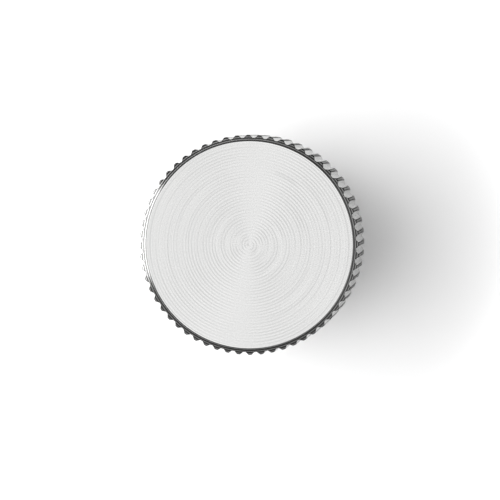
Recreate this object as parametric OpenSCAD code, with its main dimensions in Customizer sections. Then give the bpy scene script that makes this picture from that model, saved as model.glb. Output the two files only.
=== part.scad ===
// Cabinet knob, turned from one bar: a round head with a straight-knurled rim and a flat
// face, on a narrower neck whose foot stands on the door.
// The origin is the centre of the foot, and +Z points out of the door.

/* [Head] */
// Diameter over the crests of the knurl
head_d = 30; // [26:1:40]
// Thickness of the head, from its back to its face
head_t = 15; // [10:0.5:20]
// Plain ring that the front chamfer leaves inside the grooves
collar_w = 0.52; // [0.2:0.02:0.8]
// Slope of the front chamfer, measured from the face
front_slope = 30; // [20:1:50]
// Plain ring that the rear chamfer leaves inside the grooves
rear_w = 0.3; // [0.1:0.1:0.8]
// Length that the break takes off each side of the edge of the face
edge_break = 0.06; // [0.04:0.02:0.12]

/* [Knurl] */
// Number of ridges round the rim
ridges = 60; // [40:1:80]
// Depth of a groove, as a share of the pitch
groove_depth = 0.25; // [0.2:0.01:0.32]
// Width of a ridge's flat crest, as a share of the pitch
crest_w = 0.25; // [0.15:0.01:0.3]

/* [Neck] */
// Diameter of the neck
neck_d = 16; // [12:0.5:18]
// Length of the neck, from the door to the back of the head
neck_l = 11; // [8:0.5:14]
// Radius of the cove between the neck and the head
cove_r = 1.6; // [0.4:0.2:2]
// Chamfer round the foot
foot_break = 0.4; // [0.2:0.1:0.8]

/* [Fixing hole] */
// Diameter that is drilled for the thread, 3.3 for M4
drill_d = 3.3; // [2.5:0.1:4.2]
// Depth of the hole, without the drill's point
hole_l = 12; // [8:0.5:14]
// Angle of the drill's point
point_angle = 118; // [90:1:140]
// Chamfer at the mouth of the hole
mouth_break = 0.6; // [0.2:0.1:0.8]

/* [Hidden] */
steel = [0.74, 0.74, 0.73];
round_fn = 240;
knob_l = neck_l + head_t;
crest_r = head_d / 2;
pitch = PI * head_d / ridges;
root_r = crest_r - groove_depth * pitch;
face_r = root_r - collar_w;
front_h = (crest_r - face_r) * tan(front_slope);
back_r = root_r - rear_w;
rear_h = crest_r - back_r;
neck_r = neck_d / 2;
hole_r = drill_d / 2;
point_l = hole_r / tan(point_angle / 2);
// How far a cutting or joining shape runs past the face it crosses
run_out = 1;
// Angles of half a crest, and of half a ridge at its root, whose flanks slope at 45 degrees
crest_a = 180 / ridges * crest_w;
root_a = 180 / ridges * (crest_w + 2 * groove_depth);

// The rim seen along the axis: one flat-topped ridge after another.
module knurl_outline() {
    polygon([
        for (i = [0 : ridges - 1], corner = [
            [root_r, -root_a], [crest_r, -crest_a], [crest_r, crest_a], [root_r, root_a]
        ])
        let (a = 360 / ridges * i + corner[1])
        corner[0] * [cos(a), sin(a)]
    ]);
}

// The head before it is knurled: a disc whose front and rear chamfers run on past the crests,
// so that they cut the ends of the ridges. A narrow flat breaks the edge of the face.
module head_blank() {
    rotate_extrude($fn = round_fn)
    polygon([
        [0, neck_l],
        [back_r, neck_l],
        [crest_r + run_out, neck_l + rear_h + run_out],
        [crest_r + run_out, knob_l - front_h - run_out * tan(front_slope)],
        [face_r + edge_break * cos(front_slope), knob_l - edge_break * sin(front_slope)],
        [face_r - edge_break, knob_l],
        [0, knob_l]
    ]);
}

module knurled_head() {
    intersection() {
        translate([0, 0, neck_l])
        linear_extrude(head_t)
        knurl_outline();
        head_blank();
    }
}

// The neck runs into the head. Its section ends in a square shoulder, out of which a quarter
// circle is cut to leave the cove.
module neck() {
    cove_z = neck_l - cove_r;
    rotate_extrude($fn = round_fn)
    difference() {
        polygon([
            [0, 0],
            [neck_r - foot_break, 0],
            [neck_r, foot_break],
            [neck_r, cove_z],
            [neck_r + cove_r, cove_z],
            [neck_r + cove_r, neck_l + run_out],
            [0, neck_l + run_out]
        ]);
        translate([neck_r + cove_r, cove_z])
        circle(cove_r, $fn = round_fn);
    }
}

// The blind hole as a drill leaves it, with a cone at its end and a chamfer at its mouth.
module fixing_hole() {
    translate([0, 0, -run_out])
    cylinder(h = hole_l + run_out, r = hole_r, $fn = round_fn);
    translate([0, 0, hole_l])
    cylinder(h = point_l, r1 = hole_r, r2 = 0, $fn = round_fn);
    translate([0, 0, -run_out])
    cylinder(h = mouth_break + run_out, r1 = hole_r + mouth_break + run_out, r2 = hole_r,
        $fn = round_fn);
}

module knob() {
    color(steel)
    difference() {
        union() {
            knurled_head();
            neck();
        }
        fixing_hole();
    }
}

knob();
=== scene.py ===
"""Cabinet knob of satin stainless steel, turned in one piece: a flat face with turning rings, a
straight-knurled rim, a plain neck and a tapped foot. Metres, +Z out of the door."""
import math

import bpy
import numpy as np
from mathutils import Matrix, Vector


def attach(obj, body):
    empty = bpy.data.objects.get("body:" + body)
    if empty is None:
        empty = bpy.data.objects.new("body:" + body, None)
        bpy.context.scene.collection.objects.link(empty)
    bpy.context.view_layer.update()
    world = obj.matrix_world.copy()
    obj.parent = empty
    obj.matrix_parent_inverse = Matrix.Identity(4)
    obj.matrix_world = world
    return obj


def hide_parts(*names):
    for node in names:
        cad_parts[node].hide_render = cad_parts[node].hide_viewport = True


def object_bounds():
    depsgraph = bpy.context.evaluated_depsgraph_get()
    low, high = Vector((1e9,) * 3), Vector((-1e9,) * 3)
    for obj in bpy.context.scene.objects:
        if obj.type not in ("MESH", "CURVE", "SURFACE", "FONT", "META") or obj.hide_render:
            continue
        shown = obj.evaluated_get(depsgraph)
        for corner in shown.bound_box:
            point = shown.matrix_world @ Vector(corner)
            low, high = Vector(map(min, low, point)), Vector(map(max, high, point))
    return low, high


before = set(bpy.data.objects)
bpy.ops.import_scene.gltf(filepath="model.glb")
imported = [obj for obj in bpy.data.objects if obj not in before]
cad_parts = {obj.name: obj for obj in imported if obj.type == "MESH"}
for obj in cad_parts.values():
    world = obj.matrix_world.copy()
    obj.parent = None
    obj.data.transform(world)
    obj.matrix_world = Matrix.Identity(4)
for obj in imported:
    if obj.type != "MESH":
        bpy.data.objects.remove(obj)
cad_low, cad_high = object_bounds()
MM = 0.001


# --- Camera ----------------------------------------------------------------------------------
# A long lens looks down on the face from a little to one side, so that the rim shows on that
# side only. The knob stands on its foot.

# The face and its chamfer were turned a few hundredths of a millimetre off the knurl's axis,
# at x + y i
TURNING_CENTRE = (0.06 + 0.022j) * MM
FACE_CENTRE = Vector((TURNING_CENTRE.real, TURNING_CENTRE.imag, cad_high.z))
CAMERA_HEIGHT = 430 * MM      # above the face
CAMERA_OUT = 40 * MM          # from the face's centre
CAMERA_AZIMUTH = math.radians(20.5)
CAMERA_ROLL = math.radians(0.5)
NEAREST = 10 * MM
FARTHEST = 10
SENSOR = 36                   # millimetres, as the lens is
# Where the face lies in the image and how large it is there, in pixels
IMAGE_SIDE = 500
FACE_CENTRE_PIXEL = (249.15, 244.9)
FACE_EDGE_PIXELS = 103.5
FACE_EDGE_RADIUS = 14.08 * MM

camera = bpy.data.objects.new("camera", bpy.data.cameras.new("camera"))
bpy.context.collection.objects.link(camera)
bpy.context.scene.camera = camera
place = FACE_CENTRE + Vector((
    CAMERA_OUT * math.cos(CAMERA_AZIMUTH),
    CAMERA_OUT * math.sin(CAMERA_AZIMUTH),
    CAMERA_HEIGHT,
))
pixel = FACE_EDGE_RADIUS / FACE_EDGE_PIXELS      # metres on the face
image_up = Vector((math.sin(CAMERA_ROLL), math.cos(CAMERA_ROLL), 0))
image_right = image_up.cross(Vector((0, 0, 1)))
aim = FACE_CENTRE + pixel * (
    (IMAGE_SIDE / 2 - FACE_CENTRE_PIXEL[0]) * image_right
    - (IMAGE_SIDE / 2 - FACE_CENTRE_PIXEL[1]) * image_up
)
backward = (place - aim).normalized()
right = image_up.cross(backward).normalized()
up = backward.cross(right)
facing = Matrix((right, up, backward)).transposed().to_4x4()
camera.matrix_world = Matrix.Translation(place) @ facing
camera.data.sensor_width = SENSOR
camera.data.lens = SENSOR * (place - aim).length / (IMAGE_SIDE * pixel)
camera.data.clip_start = NEAREST
camera.data.clip_end = FARTHEST
bpy.context.scene.view_settings.view_transform = "Standard"


# --- Studio ----------------------------------------------------------------------------------
# A sheet of white paper in a room that is dim at eye level under a pale ceiling. A large soft
# window stands high on the left over a low white card, and the walls on the right and beyond
# the knob are a little paler. The steel mirrors all of it.

PAPER_SIDE = 4.0
PAPER_WHITE = 0.92

half = PAPER_SIDE / 2
paper_mesh = bpy.data.meshes.new("paper")
paper_mesh.from_pydata(
    [(-half, -half, 0), (half, -half, 0), (half, half, 0), (-half, half, 0)], [], [(0, 1, 2, 3)]
)
paper = bpy.data.objects.new("paper", paper_mesh)
bpy.context.collection.objects.link(paper)


def add(tree, kind, **settings):
    """A new node of that kind, with its settings."""
    node = tree.nodes.new("ShaderNode" + kind)
    for name, value in settings.items():
        setattr(node, name, value)
    return node


def feed(tree, socket, value):
    """Links value to the socket, or sets it where value is a number or a colour."""
    if isinstance(value, bpy.types.NodeSocket):
        tree.links.new(value, socket)
    else:
        socket.default_value = value


def maths(tree, operation, *values):
    """The result of a Math node on numbers or sockets."""
    node = add(tree, "Math", operation=operation)
    for socket, value in zip(node.inputs, values):
        feed(tree, socket, value)
    return node.outputs[0]


def between(tree, value, low, high, at_low, at_high):
    """at_low up to low, at_high from high on, and an eased step between them."""
    node = add(tree, "MapRange", interpolation_type="SMOOTHSTEP")
    sockets = ("Value", "From Min", "From Max", "To Min", "To Max")
    for name, number in zip(sockets, (value, low, high, at_low, at_high)):
        feed(tree, node.inputs[name], number)
    return node.outputs["Result"]


white_paper = bpy.data.materials.new("white_paper")
white_paper.use_nodes = True
tree = white_paper.node_tree
tree.nodes.clear()
diffuse = add(tree, "BsdfDiffuse")
diffuse.inputs["Color"].default_value = (PAPER_WHITE, PAPER_WHITE, PAPER_WHITE, 1)
surface = add(tree, "OutputMaterial")
tree.links.new(diffuse.outputs["BSDF"], surface.inputs["Surface"])
paper_mesh.materials.append(white_paper)

# Radiance by direction, where height is the sine of the elevation
DIM = 0.16
CEILING = 0.83
CEILING_HEIGHTS = (0.56, 0.72)      # over which the ceiling takes over from the dim walls
CEILING_TILT = 0.7                  # how much it falls off from left to right
# Two lighter strips of ceiling that run over the knob along an azimuth, a broad one and a narrow
# one: the strength of each, how far to the right of the zenith it is brightest, and its half width
STRIP_TURN = math.radians(77.5)
STRIPS = ((0.25, -0.11, 0.25), (0.54, 0.218, 0.15))
# Soft-edged patches of light: the strength of each, its azimuth, how far from that its sides start
# to fade and are gone, and the heights over which its foot comes in and its head goes out
PATCHES = (
    (11.8, 178, (24, 79), (0.6, 0.7), (0.75, 0.85)),            # the window
    (2.1, 174.75, (19.75, 26.75), (0.24, 0.3), (0.5, 0.6)),     # the card
    (0.15, -5, (25, 60), (0.35, 0.45), (0.65, 0.75)),           # the wall on the right
    (0.09, 100, (12, 38), (0.35, 0.45), (0.65, 0.75)),          # the wall beyond the knob
)

world = bpy.data.worlds.new("room")
world.use_nodes = True
bpy.context.scene.world = world
room = world.node_tree
room.nodes.clear()
parts = add(room, "SeparateXYZ")
room.links.new(add(room, "TexCoord").outputs["Generated"], parts.inputs[0])
x, y, height = parts.outputs


def along_turn(turn):
    """How far a direction reaches along the azimuth turn."""
    along_y = maths(room, "MULTIPLY", y, math.sin(turn))
    return maths(room, "MULTIPLY_ADD", x, math.cos(turn), along_y)


def patch(strength, degrees, edges, foot, head):
    """A patch of light round that azimuth, with each of its edges eased between two limits."""
    turn = math.radians(degrees)
    off = maths(room, "ARCTAN2", along_turn(turn + math.pi / 2), along_turn(turn))
    fading, gone = (math.radians(edge) for edge in edges)
    sides = between(room, maths(room, "ABSOLUTE", off), fading, gone, strength, 0)
    above = between(room, height, *foot, 0, 1)
    below = between(room, height, *head, 1, 0)
    return maths(room, "MULTIPLY", sides, maths(room, "MULTIPLY", above, below))


across = along_turn(STRIP_TURN - math.pi / 2)
ceiling = maths(room, "MULTIPLY_ADD", x, -CEILING_TILT * CEILING, CEILING - DIM)
for strength, middle, half_width in STRIPS:
    away = maths(room, "ABSOLUTE", maths(room, "SUBTRACT", across, middle))
    ceiling = maths(room, "ADD", ceiling, between(room, away, 0, half_width, strength, 0))
ceiling = maths(room, "MULTIPLY", ceiling, between(room, height, *CEILING_HEIGHTS, 0, 1))
radiance = maths(room, "ADD", ceiling, DIM)
for light in PATCHES:
    radiance = maths(room, "ADD", radiance, patch(*light))
glow = add(room, "Background")
room.links.new(radiance, glow.inputs["Color"])
surface = add(room, "OutputWorld")
room.links.new(glow.outputs["Background"], surface.inputs["Surface"])


# --- Knob: form ------------------------------------------------------------------------------
# The whole knob, turned from a stainless steel bar, straight-knurled with a wheel, chamfered
# front and back, drilled and tapped M4 in its foot. It takes the place of the plain solid.

KNOB_LENGTH = cad_high.z
HEAD_BACK = 11 * MM
COARSE = 96                   # points round a plain ring


def column(values):
    """Values down a profile, as one column that spreads over all azimuths."""
    return np.asarray(values, float)[:, None]


def circle(radius, azimuth, centre=0):
    """Points x + y i at that radius from the centre: centre + radius x e^(i azimuth)."""
    return centre + radius * np.exp(1j * azimuth)


def rings(spots, heights):
    """Rows of points from spots x + y i and their heights."""
    heights = np.broadcast_to(heights, spots.shape)
    return np.stack([spots.real, spots.imag, heights], axis=2)


# The rim, from ridge to ridge.
RIDGES = 60
CREST_RADIUS = 15 * MM
PITCH = 2 * math.pi * CREST_RADIUS / RIDGES
GROOVE_DEPTH = 0.25 * PITCH
ROOT_RADIUS = CREST_RADIUS - GROOVE_DEPTH
CREST_SHARE = 0.25            # of the pitch
CREST_FLARE = 0.13            # by which the crest widens where the wheel ran out, at the back
RUN_OUT = 0.25                # by which the groove gets shallower there
CORNER_SHARE = 0.07           # of the groove's depth, over which its corners are rounded
# Where the points of one ridge lie, from the middle of one groove to the next
RIDGE_POINTS = np.array([
    0.0, 0.05, 0.1, 0.12, 0.14, 0.2, 0.28, 0.35, 0.375, 0.41,
    0.5, 0.59, 0.625, 0.65, 0.72, 0.8, 0.86, 0.88, 0.9, 0.95,
])

# The points all round the rim, counted in ridges: each crest's middle is at a whole number.
rim_turns = (np.arange(RIDGES)[:, None] + RIDGE_POINTS[None, :] - 0.5).ravel()
from_crest = np.abs(rim_turns - np.round(rim_turns)) * PITCH
fine_azimuth = 2 * np.pi * rim_turns / RIDGES
coarse_azimuth = 2 * np.pi * np.arange(COARSE) / COARSE
FINE = len(fine_azimuth)


def soft_floor(t, corner):
    """The larger of t and 0. From -corner to corner a parabola rounds it off, which meets both
    straight stretches smoothly."""
    return np.where(np.abs(t) < corner, (t + corner) ** 2 / (4 * corner), np.maximum(t, 0))


def soft_step(t, corner):
    """t held between 0 and 1, with both corners rounded as in soft_floor."""
    return 1 - soft_floor(1 - soft_floor(t, corner), corner)


def half_crest(flare):
    """Half the width of a crest, whose extra width is flare times its full flare."""
    return (CREST_SHARE + CREST_FLARE * flare) / 2 * PITCH


def ridge_radius(flare):
    """Radius round the rim at each of its points: a flat crest, flanks at 45 degrees that fall
    over the groove's depth, and a flat root. The groove is shallower by flare times its
    run-out."""
    rise = (half_crest(flare) + GROOVE_DEPTH - from_crest) / GROOVE_DEPTH
    depth = GROOVE_DEPTH * (1 - RUN_OUT * flare)
    return CREST_RADIUS - depth * (1 - soft_step(rise, CORNER_SHARE))


# The face: rings from the small pip that the tool leaves at the centre, outward.
PIP_RADIUS = 0.16 * MM
PIP_DEPTH = 0.02 * MM
FACE_ROWS = 24                # outside the pip
pip_r = np.array([0.06, 0.12, 0.18, 0.24, 0.3])
face_r = column(np.concatenate([pip_r, np.linspace(0.8, 13.2, FACE_ROWS)])) * MM
pip = PIP_DEPTH * np.exp(-(face_r / PIP_RADIUS) ** 2)
face_rows = rings(circle(face_r, coarse_azimuth, TURNING_CENTRE), KNOB_LENGTH - pip)

# The knurled head: the rim of the face, then the front chamfer, which falls from it as a cone.
# Its relief is a wave along a spiral: the cosine of distance / feed + turns.
COLLAR_WIDTH = 0.52 * MM      # of the chamfer, inside the roots of the grooves
FACE_RADIUS = ROOT_RADIUS - COLLAR_WIDTH
FRONT_SLOPE = math.radians(30)
CHAMFER_ROWS = 30
CHAMFER_RINGS = 0.315 * MM    # the tool's feed
CHAMFER_RELIEF = 0.0007 * MM
FIRST_RING = 0.363 * MM       # from the edge of the face, at azimuth 0
flat_r = column([13.5 * MM, 13.8 * MM, FACE_RADIUS])
front_outline = circle(ridge_radius(0), fine_azimuth)
edge_ring = circle(FACE_RADIUS, fine_azimuth, TURNING_CENTRE)
chamfer_share = column(np.linspace(0, 1, CHAMFER_ROWS + 1)[1:])
chamfer_spots = edge_ring + chamfer_share * (front_outline - edge_ring)
from_face = np.abs(chamfer_spots - TURNING_CENTRE) - FACE_RADIUS
chamfer_turns = np.angle(chamfer_spots - TURNING_CENTRE) / (2 * np.pi)
ring_turns = (from_face - FIRST_RING) / CHAMFER_RINGS + chamfer_turns
relief = -CHAMFER_RELIEF * np.cos(2 * np.pi * ring_turns)
chamfer_z = KNOB_LENGTH - from_face * math.tan(FRONT_SLOPE) + relief

# The ridges, whose crests flare towards the rear chamfer, and the back of the head.
REAR_WIDTH = 0.3 * MM         # of the rear chamfer, inside the roots of the grooves
BACK_RADIUS = ROOT_RADIUS - REAR_WIDTH
REAR_ROWS = 5
FLARE_START = 0.6             # of the ridge's length
FLARE_CORNER = 0.2            # of the flare's length, over which it sets in and ends
down = column([0.06, 0.2, 0.4, 0.55, 0.68, 0.78, 0.88, 0.95, 1])     # of the ridge's length
flare = soft_step((down - FLARE_START) / (1 - FLARE_START), FLARE_CORNER)
rim_r = ridge_radius(flare)
rim_top = chamfer_z[-1:]
rim_bottom = HEAD_BACK + (rim_r[-1:] - BACK_RADIUS)
rim_z = rim_top + down * (rim_bottom - rim_top)
rear_share = column(np.linspace(0, 1, REAR_ROWS + 1)[1:])
rear_r = rim_r[-1:] + rear_share * (BACK_RADIUS - rim_r[-1:])
back_r = column([14, 13.5]) * MM
head_rows = np.concatenate([
    rings(circle(flat_r, fine_azimuth, TURNING_CENTRE), KNOB_LENGTH),
    rings(chamfer_spots, chamfer_z),
    rings(circle(rim_r, fine_azimuth), rim_z),
    rings(circle(rear_r, fine_azimuth), HEAD_BACK + (rear_r - BACK_RADIUS)),
    rings(circle(back_r, fine_azimuth), HEAD_BACK),
])
chamfer_first = len(flat_r) - 1
rim_first = chamfer_first + CHAMFER_ROWS
rear_first = rim_first + len(down)

# The rest of the back, the cove, the neck and the foot, in to the mouth of the hole.
COVE_RADIUS = 1.6 * MM
COVE_ROWS = 9
NECK_RADIUS = 8 * MM
NECK_ROWS = 6
FOOT_BREAK = 0.4 * MM
FOOT_ROWS = 8
HOLE_RADIUS = 1.65 * MM
MOUTH_BREAK = 0.6 * MM
MOUTH_RADIUS = HOLE_RADIUS + MOUTH_BREAK
back_plain_r = np.array([13.2, 12, 10.6]) * MM
cove = np.linspace(0, np.pi / 2, COVE_ROWS)
neck_r = column(np.concatenate([
    back_plain_r,
    NECK_RADIUS + COVE_RADIUS * (1 - np.sin(cove)),
    np.full(NECK_ROWS, NECK_RADIUS),
    np.linspace(NECK_RADIUS - FOOT_BREAK, MOUTH_RADIUS, FOOT_ROWS),
]))
neck_z = column(np.concatenate([
    np.full(len(back_plain_r), HEAD_BACK),
    HEAD_BACK - COVE_RADIUS * (1 - np.cos(cove)),
    np.linspace(HEAD_BACK - COVE_RADIUS, FOOT_BREAK, NECK_ROWS + 1)[1:],
    np.zeros(FOOT_ROWS),
]))
neck_rows = rings(circle(neck_r, coarse_azimuth), neck_z)

# The hole, with its chamfered mouth, M4 thread and drill point. The thread's groove is a helix of
# triangular section: its radius follows height / pitch - turns, and shows outside the wall.
HOLE_DEPTH = 12 * MM
HALF_POINT_ANGLE = math.radians(59)
POINT_DEPTH = HOLE_RADIUS / math.tan(HALF_POINT_ANGLE)
THREAD_PITCH = 0.7 * MM
THREAD_RADIUS = 2 * MM
THREAD_DEPTH = 10 * MM
THREAD_END = 0.3 * MM         # over which the thread runs out
THREAD_FLANK = math.radians(30)
THREAD_ROWS = 143
hole_z = column(np.concatenate([
    np.linspace(0, THREAD_DEPTH, THREAD_ROWS + 1)[1:], [THREAD_DEPTH + THREAD_END, HOLE_DEPTH]
]))
wall = np.maximum(HOLE_RADIUS, MOUTH_RADIUS - hole_z)
phase = (hole_z / THREAD_PITCH - coarse_azimuth / (2 * np.pi)) % 1
thread = THREAD_RADIUS - np.abs(phase - 0.5) * THREAD_PITCH / math.tan(THREAD_FLANK)
thread = np.where(hole_z <= THREAD_DEPTH, thread, 0)
hole_rows = rings(circle(np.maximum(wall, thread), coarse_azimuth), hole_z)

blocks = [face_rows, head_rows, neck_rows, hole_rows]
sizes = [block.shape[0] * block.shape[1] for block in blocks]
face_start, head_start, neck_start, _, last_point = 1 + np.cumsum([0] + sizes)
points = np.concatenate(
    [[[TURNING_CENTRE.real, TURNING_CENTRE.imag, KNOB_LENGTH - PIP_DEPTH]]]
    + [block.reshape(-1, 3) for block in blocks]
    + [[[0, 0, HOLE_DEPTH + POINT_DEPTH]]]
)


def sleeve(first, rows, count):
    """Quads between rows rings of count points each, numbered from first, outward when the
    rings run from the face down to the foot."""
    row = np.arange(rows - 1)[:, None] * count + first
    here = np.arange(count)[None, :]
    there = (here + 1) % count
    corners = [row + here, row + count + here, row + count + there, row + there]
    return np.stack(corners, axis=2).reshape(-1, 4)


def join(outer, outer_count, inner, inner_count):
    """Triangles between two rings with different numbers of points: each point of the outer
    ring goes to the nearest one of the inner, and one more triangle closes each change."""
    near = np.round(np.arange(outer_count) * inner_count / outer_count).astype(int) % inner_count
    ahead = (np.arange(outer_count) + 1) % outer_count
    fans = np.stack([outer + np.arange(outer_count), outer + ahead, inner + near], axis=1)
    change = np.nonzero(near != near[ahead])[0]
    after = ahead[change]
    gaps = np.stack([outer + after, inner + near[after], inner + near[change]], axis=1)
    return np.concatenate([fans, gaps])


def cap(tip, ring):
    """Triangles from one point to a ring of COARSE points."""
    around = np.arange(COARSE)
    return np.stack([np.full(COARSE, tip), ring + around, ring + (around + 1) % COARSE], axis=1)


face_quads = sleeve(face_start, len(face_rows), COARSE)
head_quads = sleeve(head_start, len(head_rows), FINE)
neck_quads = sleeve(neck_start, len(neck_rows) + len(hole_rows), COARSE)
face_joins = np.concatenate([
    cap(0, face_start), join(head_start, FINE, head_start - COARSE, COARSE)
])
back_joins = join(neck_start - FINE, FINE, neck_start, COARSE)[:, ::-1]
drill_point = cap(last_point, last_point - COARSE)[:, ::-1]
quads = np.concatenate([face_quads, head_quads, neck_quads])
triangles = np.concatenate([face_joins, back_joins, drill_point])

SHARP_ANGLE = math.radians(24)
knob_mesh = bpy.data.meshes.new("turned_knob")
knob_mesh.from_pydata(points.tolist(), [], quads.tolist() + triangles.tolist())
knob_mesh.shade_smooth()
knob_mesh.set_sharp_from_angle(angle=SHARP_ANGLE)
knob = bpy.data.objects.new("turned_knob", knob_mesh)
bpy.context.collection.objects.link(knob)


# --- Knob: finishes --------------------------------------------------------------------------
# Bare steel as each tool left it: fine rings on the turned face and chamfer, and grooves burnished
# by the knurling wheel. The crests are painted dark as painted shade, the chamfer's rings carry
# painted reflection and the face's edge a painted highlight.

STEEL = (0.72, 0.72, 0.715)
# Painted shade: the crests' dark colour, standing in for the shaded paper that they mirror.
CREST_PAINTED_SHADE = (0.36, 0.36, 0.355)
NOISE_MIDDLE = 0.5
NOISE_SPREAD = (0.3, 0.7)     # where nearly all of a noise's values lie


def group(name, inputs, outputs):
    """A new shader node group with its sockets; the group, its input and its output node."""
    tree = bpy.data.node_groups.new(name, "ShaderNodeTree")
    for socket, kind in inputs.items():
        tree.interface.new_socket(socket, in_out="INPUT", socket_type="NodeSocket" + kind)
    for socket, kind in outputs.items():
        tree.interface.new_socket(socket, in_out="OUTPUT", socket_type="NodeSocket" + kind)
    return tree, tree.nodes.new("NodeGroupInput").outputs, tree.nodes.new("NodeGroupOutput").inputs


def place_group(tree, which, **values):
    """The group in a material, with its input values; its outputs."""
    node = tree.nodes.new("ShaderNodeGroup")
    node.node_tree = which
    for name, value in values.items():
        feed(tree, node.inputs[name], value)
    return node.outputs


def noise(tree, spot, scale, detail=2):
    """A noise along the spot where that is a number, or in space where it is a position."""
    is_number = spot.type == "VALUE"
    node = add(tree, "TexNoise", noise_dimensions="1D" if is_number else "3D")
    feed(tree, node.inputs["W" if is_number else "Vector"], spot)
    node.inputs["Scale"].default_value = scale
    node.inputs["Detail"].default_value = detail
    return node.outputs[0]


# The spiral that a tool leaves, by how far it has travelled at that radius and the azimuth there.
# Each turn cuts a little deeper or shallower than the last, and a finer grain runs along with it.
UNEVEN_SCALE = 1.3            # per turn, as is the next
GRAIN_SCALE = 9
GRAIN_DETAIL = 3
UNEVEN_CUT = (0.6, 1.3)       # of the depth, in the shallowest turns and in the deepest
GRAIN_CUT = 0.15              # of the depth
GRAIN_TONE = 0.06
RING_TONE = 0.004
turning, given, result = group(
    "turning_marks",
    {"Travel": "Float", "Azimuth": "Float", "Feed": "Float", "Depth": "Float"},
    {"Height": "Float", "Tone": "Float"},
)
turns = maths(turning, "DIVIDE", given["Travel"], given["Feed"])
spiral = maths(turning, "ADD", turns, maths(turning, "DIVIDE", given["Azimuth"], 2 * math.pi))
wave = maths(turning, "SINE", maths(turning, "MULTIPLY", spiral, 2 * math.pi))
weight = between(turning, noise(turning, turns, UNEVEN_SCALE), *NOISE_SPREAD, *UNEVEN_CUT)
grain = noise(turning, turns, GRAIN_SCALE, GRAIN_DETAIL)
grain = maths(turning, "SUBTRACT", grain, NOISE_MIDDLE)
cut = maths(turning, "MULTIPLY_ADD", wave, weight, maths(turning, "MULTIPLY", grain, GRAIN_CUT))
feed(turning, result["Height"], maths(turning, "MULTIPLY", cut, given["Depth"]))
ring_tone = maths(turning, "MULTIPLY_ADD", wave, RING_TONE, 1)
feed(turning, result["Tone"], maths(turning, "MULTIPLY_ADD", grain, GRAIN_TONE, ring_tone))

# What handling leaves: broad faint smudges, and a fine speckle all over.
SMUDGE_SCALE = 260
SMUDGE_DETAIL = 3
SMUDGE_SPREAD = (0.45, 0.7)   # of its noise, so that more than half of the metal is clean
SPECKLE_SCALE = 6500
handling, given, result = group(
    "handling_marks",
    {"Position": "Vector"},
    {"Smudge": "Float", "Speckle": "Float"},
)
smudge = noise(handling, given["Position"], SMUDGE_SCALE, SMUDGE_DETAIL)
speckle = noise(handling, given["Position"], SPECKLE_SCALE)
feed(handling, result["Smudge"], between(handling, smudge, *SMUDGE_SPREAD, 0, 1))
feed(handling, result["Speckle"], between(handling, speckle, *NOISE_SPREAD, 0, 1))

# The thin burr that the wheel and the tool raised along edges, broken up by a fine noise.
BURR_SCALE = 5000
BURR_SPREAD = (0.2, 0.7)      # of nearness and noise together
burring, given, result = group(
    "end_burr",
    {"Position": "Vector", "Nearness": "Float"},
    {"Burr": "Float"},
)
ragged = maths(burring, "SUBTRACT", noise(burring, given["Position"], BURR_SCALE), NOISE_MIDDLE)
near = maths(burring, "ADD", given["Nearness"], ragged)
feed(burring, result["Burr"], between(burring, near, *BURR_SPREAD, 0, 1))


def steel(name, roughness, **shader_values):
    """A bare metal material, whose plain roughness is for a viewer that doesn't read the nodes;
    its tree, shader sockets and object position."""
    material = bpy.data.materials.new(name)
    material.use_nodes = True
    knob_mesh.materials.append(material)
    tree = material.node_tree
    shader = tree.nodes["Principled BSDF"]
    shader.inputs["Base Color"].default_value = (*STEEL, 1)
    shader.inputs["Metallic"].default_value = 1
    shader.inputs["Roughness"].default_value = roughness
    for socket, value in shader_values.items():
        shader.inputs[socket.replace("_", " ")].default_value = value
    return tree, shader.inputs, add(tree, "TexCoord").outputs["Object"]


def mix(tree, share, first, second):
    """first where share is 0, second where it is 1."""
    return maths(tree, "MULTIPLY_ADD", share, second - first, first)


def toned(tree, tone, *others, colour=STEEL):
    """The colour times all the tones."""
    for other in others:
        tone = maths(tree, "MULTIPLY", tone, other)
    node = add(tree, "VectorMath", operation="SCALE")
    node.inputs[0].default_value = colour
    feed(tree, node.inputs["Scale"], tone)
    return node.outputs[0]


def bumped(tree, height):
    """The normal over a height in metres."""
    node = add(tree, "Bump")
    node.inputs["Distance"].default_value = 1
    feed(tree, node.inputs["Height"], height)
    return node.outputs[0]


def polar(tree, position, centre=0):
    """Distance and azimuth about the axis through centre, x + y i."""
    offset = add(tree, "VectorMath", operation="SUBTRACT")
    feed(tree, offset.inputs[0], position)
    offset.inputs[1].default_value = (centre.real, centre.imag, 0)
    parts = add(tree, "SeparateXYZ")
    feed(tree, parts.inputs[0], offset.outputs[0])
    x, y, _ = parts.outputs
    square = maths(tree, "MULTIPLY_ADD", x, x, maths(tree, "MULTIPLY", y, y))
    return maths(tree, "SQRT", square), maths(tree, "ARCTAN2", y, x)


# The face: rings about 0.4 mm apart, finely grained round the axis, with a rubbed patch, and a
# painted highlight, a bright line, round the edge. In each pair of tones or roughnesses the first
# is the one without the mark and the second the one under it.
FACE_RINGS = 0.405 * MM
FACE_RING_DEPTH = 0.0085 * MM
TIP_RADIUS = 0.9 * MM         # within which the tool's tip cuts less and less deep
RUB_RADIUS = 10.45 * MM
RUB_WIDTH = 0.6 * MM
RUB_TURN = math.radians(60)
RUB_LENGTH = math.radians(13)
RUB_CORE = 0.3                # of its length, over which it is even
RUB_TONES = (1, 0.93)
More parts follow.
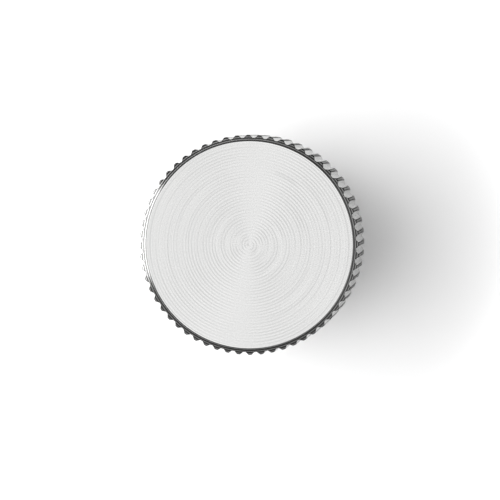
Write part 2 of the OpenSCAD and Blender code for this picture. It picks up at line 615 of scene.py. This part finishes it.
# Painted highlight: a bright line in the colour round the edge of the face.
EDGE_HIGHLIGHT_WIDTH = 0.16 * MM
EDGE_HIGHLIGHT_TONES = (1, 1.14)
FACE_SPECKLE_TONES = (1.05, 0.94)
FACE_SMUDGE_TONES = (1, 0.99)
FACE_ROUGHNESSES = (0.105, 0.125)
tree, shader, position = steel("turned_face", 0.11, Anisotropic=0.7, Anisotropic_Rotation=0.25)
radius, azimuth = polar(tree, position, TURNING_CENTRE)
depth = between(tree, radius, 0, TIP_RADIUS, 0, FACE_RING_DEPTH)
marks = place_group(tree, turning, Travel=radius, Azimuth=azimuth, Feed=FACE_RINGS, Depth=depth)
handled = place_group(tree, handling, Position=position)
across_rub = maths(tree, "ABSOLUTE", maths(tree, "SUBTRACT", radius, RUB_RADIUS))
along_rub = maths(tree, "ABSOLUTE", maths(tree, "SUBTRACT", azimuth, RUB_TURN))
rub = maths(
    tree, "MULTIPLY",
    between(tree, across_rub, 0, RUB_WIDTH, 1, 0),
    between(tree, along_rub, RUB_CORE * RUB_LENGTH, RUB_LENGTH, 1, 0),
)
feed(tree, shader["Base Color"], toned(
    tree,
    marks["Tone"],
    mix(tree, handled["Speckle"], *FACE_SPECKLE_TONES),
    mix(tree, handled["Smudge"], *FACE_SMUDGE_TONES),
    mix(tree, rub, *RUB_TONES),
    between(tree, radius, FACE_RADIUS - EDGE_HIGHLIGHT_WIDTH, FACE_RADIUS - EDGE_HIGHLIGHT_WIDTH / 4, *EDGE_HIGHLIGHT_TONES),
))
feed(tree, shader["Normal"], bumped(tree, marks["Height"]))
feed(tree, shader["Roughness"], mix(tree, handled["Smudge"], *FACE_ROUGHNESSES))
round_axis = add(tree, "Tangent", direction_type="RADIAL", axis="Z")
tree.links.new(round_axis.outputs["Tangent"], shader["Tangent"])


def burr_on(tree, position):
    """How much burr there is, from how near the mesh's points say that an edge is."""
    nearness = add(tree, "Attribute", attribute_name="burr").outputs["Fac"]
    return place_group(tree, burring, Position=position, Nearness=nearness)["Burr"]


# The front chamfer: smooth lands between rough torn valleys, along the spiral that is in the mesh,
# with a burr at both edges. The lands are painted dark and the valleys pale, painted reflection on
# top of their real difference in roughness.
LAND_TO_TORN = (0.3, 0.85)    # of the spiral's cosine
# Painted reflection: dark lands and pale valleys in the colour, besides their roughness.
LAND_TORN_PAINTED_TONES = (0.3, 1.2)
LAND_TORN_ROUGHNESSES = (0.08, 0.22)
CHAMFER_BURR_TONES = (1, 0.25)
CHAMFER_SPECKLE_TONES = (1.04, 0.92)
tree, shader, position = steel("turned_chamfer", 0.08)
radius, azimuth = polar(tree, position, TURNING_CENTRE)
travelled = maths(tree, "SUBTRACT", radius, FACE_RADIUS + FIRST_RING)
spiral = maths(tree, "MULTIPLY_ADD", travelled, 2 * math.pi / CHAMFER_RINGS, azimuth)
torn_and_painted_sheen = between(tree, maths(tree, "COSINE", spiral), *LAND_TO_TORN, 0, 1)
handled = place_group(tree, handling, Position=position)
feed(tree, shader["Base Color"], toned(
    tree,
    mix(tree, burr_on(tree, position), *CHAMFER_BURR_TONES),
    mix(tree, handled["Speckle"], *CHAMFER_SPECKLE_TONES),
    mix(tree, torn_and_painted_sheen, *LAND_TORN_PAINTED_TONES),
))
feed(tree, shader["Roughness"], mix(tree, torn_and_painted_sheen, *LAND_TORN_ROUGHNESSES))

# The grooves: metal that the wheel rolled smooth, with a fine speckle and dark rough burrs.
BURR_ROUGHNESS = 0.4          # by which a burr adds to it, also on the crests
GROOVE_BURR_TONES = (0.76, 0.35)
GROOVE_SPECKLE_TONES = (1.05, 0.85)
GROOVE_ROUGHNESSES = (0.22, 0.32)
tree, shader, position = steel("rolled_groove", 0.25)
burr = burr_on(tree, position)
handled = place_group(tree, handling, Position=position)
feed(tree, shader["Base Color"], toned(
    tree,
    mix(tree, burr, *GROOVE_BURR_TONES),
    mix(tree, handled["Speckle"], *GROOVE_SPECKLE_TONES),
))
rolled = mix(tree, handled["Speckle"], *GROOVE_ROUGHNESSES)
feed(tree, shader["Roughness"], maths(tree, "ADD", rolled, mix(tree, burr, 0, BURR_ROUGHNESS)))

# The crests, which the wheel didn't touch: painted shade, a dark colour that stands in for the
# shaded paper that they mirror, mottled.
MOTTLE_SCALE = 4200
MOTTLE_SPREAD = (0.35, 0.65)
MOTTLE_TONES = (0.65, 1.5)
CREST_BURR_TONES = (1, 0.2)
CREST_ROUGHNESSES = (0.3, 0.4)
tree, shader, position = steel("crest_painted_shade", 0.35, Specular_Tint=(0.35, 0.35, 0.35, 1))
burr = burr_on(tree, position)
handled = place_group(tree, handling, Position=position)
feed(tree, shader["Base Color"], toned(
    tree,
    mix(tree, burr, *CREST_BURR_TONES),
    between(tree, noise(tree, position, MOTTLE_SCALE), *MOTTLE_SPREAD, *MOTTLE_TONES),
    colour=CREST_PAINTED_SHADE,
))
crest_roughness = mix(tree, handled["Speckle"], *CREST_ROUGHNESSES)
feed(tree, shader["Roughness"], maths(tree, "ADD", crest_roughness, mix(tree, burr, 0, BURR_ROUGHNESS)))

# The neck, the back of the head, the foot and the hole: plain turned steel.
NECK_RINGS = 0.15 * MM
NECK_RING_DEPTH = 0.0025 * MM
NECK_SMUDGE_TONES = (0.84, 0.76)
NECK_ROUGHNESSES = (0.22, 0.3)
tree, shader, position = steel("turned_neck", 0.25)
upward = add(tree, "SeparateXYZ")
feed(tree, upward.inputs[0], position)
radius, azimuth = polar(tree, position)
travel = maths(tree, "ADD", radius, upward.outputs["Z"])
marks = place_group(
    tree, turning, Travel=travel, Azimuth=azimuth, Feed=NECK_RINGS, Depth=NECK_RING_DEPTH
)
handled = place_group(tree, handling, Position=position)
feed(tree, shader["Base Color"], toned(
    tree, marks["Tone"], mix(tree, handled["Smudge"], *NECK_SMUDGE_TONES)
))
feed(tree, shader["Normal"], bumped(tree, marks["Height"]))
feed(tree, shader["Roughness"], mix(tree, handled["Smudge"], *NECK_ROUGHNESSES))

# Which finish each face of the mesh has, in the order made above. The crest's lies between two
# of the RIDGE_POINTS.
FACE, CHAMFER, GROOVE, CREST, NECK = range(5)
CREST_POINTS = (7, 13)
row = np.arange(len(head_rows) - 1)[:, None]
spot = np.tile(np.arange(len(RIDGE_POINTS)), RIDGES)[None, :]
rim_finish = np.where((spot >= CREST_POINTS[0]) & (spot < CREST_POINTS[1]), CREST, GROOVE)
head_finish = np.select(
    [row < chamfer_first, row < rim_first, row < rear_first], [FACE, CHAMFER, rim_finish], NECK
)
finish = np.concatenate([
    np.full(len(face_quads), FACE),
    head_finish.ravel(),
    np.full(len(neck_quads), NECK),
    np.full(len(face_joins), FACE),
    np.full(len(back_joins) + len(drill_point), NECK),
])
knob_mesh.polygons.foreach_set("material_index", finish)

# Where the burr lies: 1 at the ends of the ridges and the sides of their crests, less round the
# edge of the face, and down to 0 over its width.
BURR_WIDTH = 0.13 * MM
SIDE_BURR = 0.16 * MM         # its width along the sides of the crests
EDGE_BURR = 0.5               # how strong it is round the face
burr_rows = np.zeros((len(head_rows), FINE))
from_outline = np.abs(front_outline - chamfer_spots)
from_ends = np.minimum(down, 1 - down) * (rim_top - rim_bottom)
from_sides = np.abs(from_crest - half_crest(flare))
burr_rows[chamfer_first] = EDGE_BURR
burr_rows[chamfer_first + 1:rim_first + 1] = np.maximum(
    1 - from_outline / BURR_WIDTH, EDGE_BURR - from_face / BURR_WIDTH
)
burr_rows[rim_first + 1:rear_first + 1] = 1 - np.minimum(
    from_ends / BURR_WIDTH, from_sides / SIDE_BURR
)
burr_values = np.zeros(len(points))
burr_values[head_start:neck_start] = np.clip(burr_rows, 0, 1).ravel()
knob_mesh.attributes.new("burr", "FLOAT", "POINT").data.foreach_set("value", burr_values)

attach(knob, "root")
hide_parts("knob")
